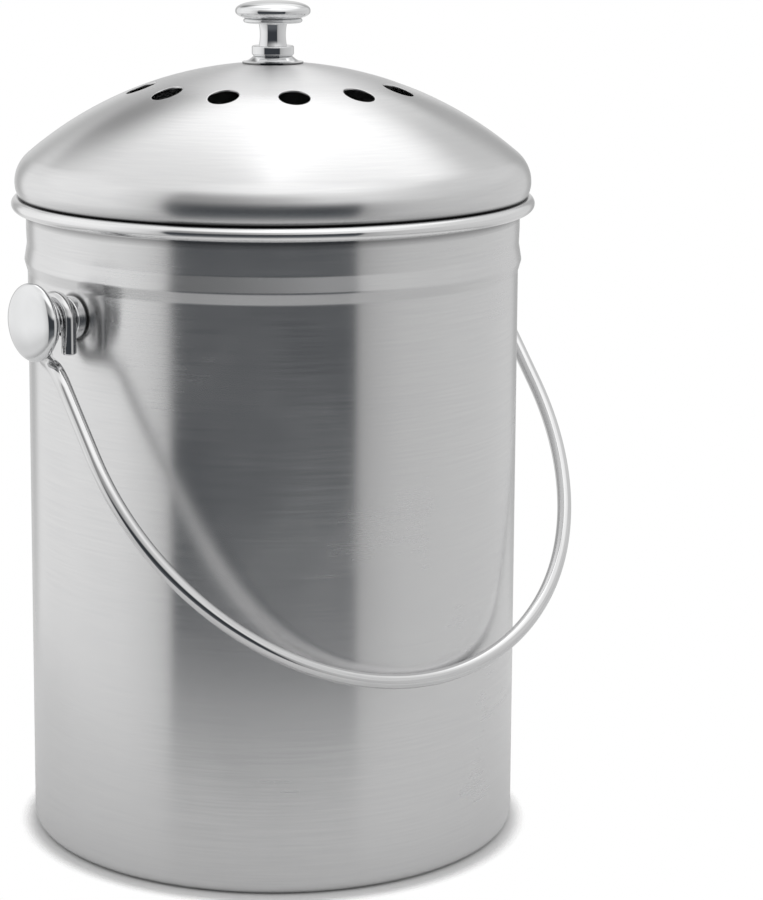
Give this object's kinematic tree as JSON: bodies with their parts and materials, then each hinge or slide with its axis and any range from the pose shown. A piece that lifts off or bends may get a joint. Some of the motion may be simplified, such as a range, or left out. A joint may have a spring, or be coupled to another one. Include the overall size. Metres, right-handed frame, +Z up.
{
  "type": "compost caddy",
  "caption": "Cylindrical steel countertop compost caddy with a rolled rim, a vented domed lift-off lid with mushroom knob and charcoal filter, and a wire bail on two studs.",
  "frame": {"origin": "centre of the bin's base, on the floor that its foot ring stands on", "axes": "+Z up along the bin's axis; X along the bail's pivot axis; -Y is the front, where the bail rests against the wall"},
  "size_m": [0.213, 0.183, 0.2924],
  "materials": {
    "brushed_bin": "brushed round the body",
    "satin_lid": "satin",
    "polished_wire": "polished wire",
    "chrome_knobs": "mirror",
    "zinc_fixings": "bright zinc",
    "charcoal_felt": "black needled felt"
  },
  "bodies": {
    "bin": {"bin_shell": "brushed_bin", "left_stud_cap": "chrome_knobs", "left_stud_post": "chrome_knobs", "left_stud_collar": "chrome_knobs", "left_stud_washer": "zinc_fixings", "left_stud_screw": "zinc_fixings", "right_stud_cap": "chrome_knobs", "right_stud_post": "chrome_knobs", "right_stud_collar": "chrome_knobs", "right_stud_washer": "zinc_fixings", "right_stud_screw": "zinc_fixings"},
    "bail": {"bail_wire": "polished_wire"},
    "lid": {"lid_dome": "satin_lid", "filter_pan": "satin_lid", "charcoal_filter": "charcoal_felt", "knob_cap": "chrome_knobs", "knob_stem": "chrome_knobs", "knob_collar": "chrome_knobs", "knob_rosette": "chrome_knobs", "knob_washer": "zinc_fixings", "knob_screw": "zinc_fixings"}
  },
  "joints": [
    {"name": "bail_swing", "type": "hinge", "parent": "bin", "child": "bail", "pos_m": [0, 0, 0.1904], "axis": [-1, 0, 0], "range_deg": [0, 285]},
    {"name": "lid_lift", "type": "slide", "parent": "bin", "child": "lid", "axis": [0, 0, 1], "range_m": [0, 0.12]}
  ]
}
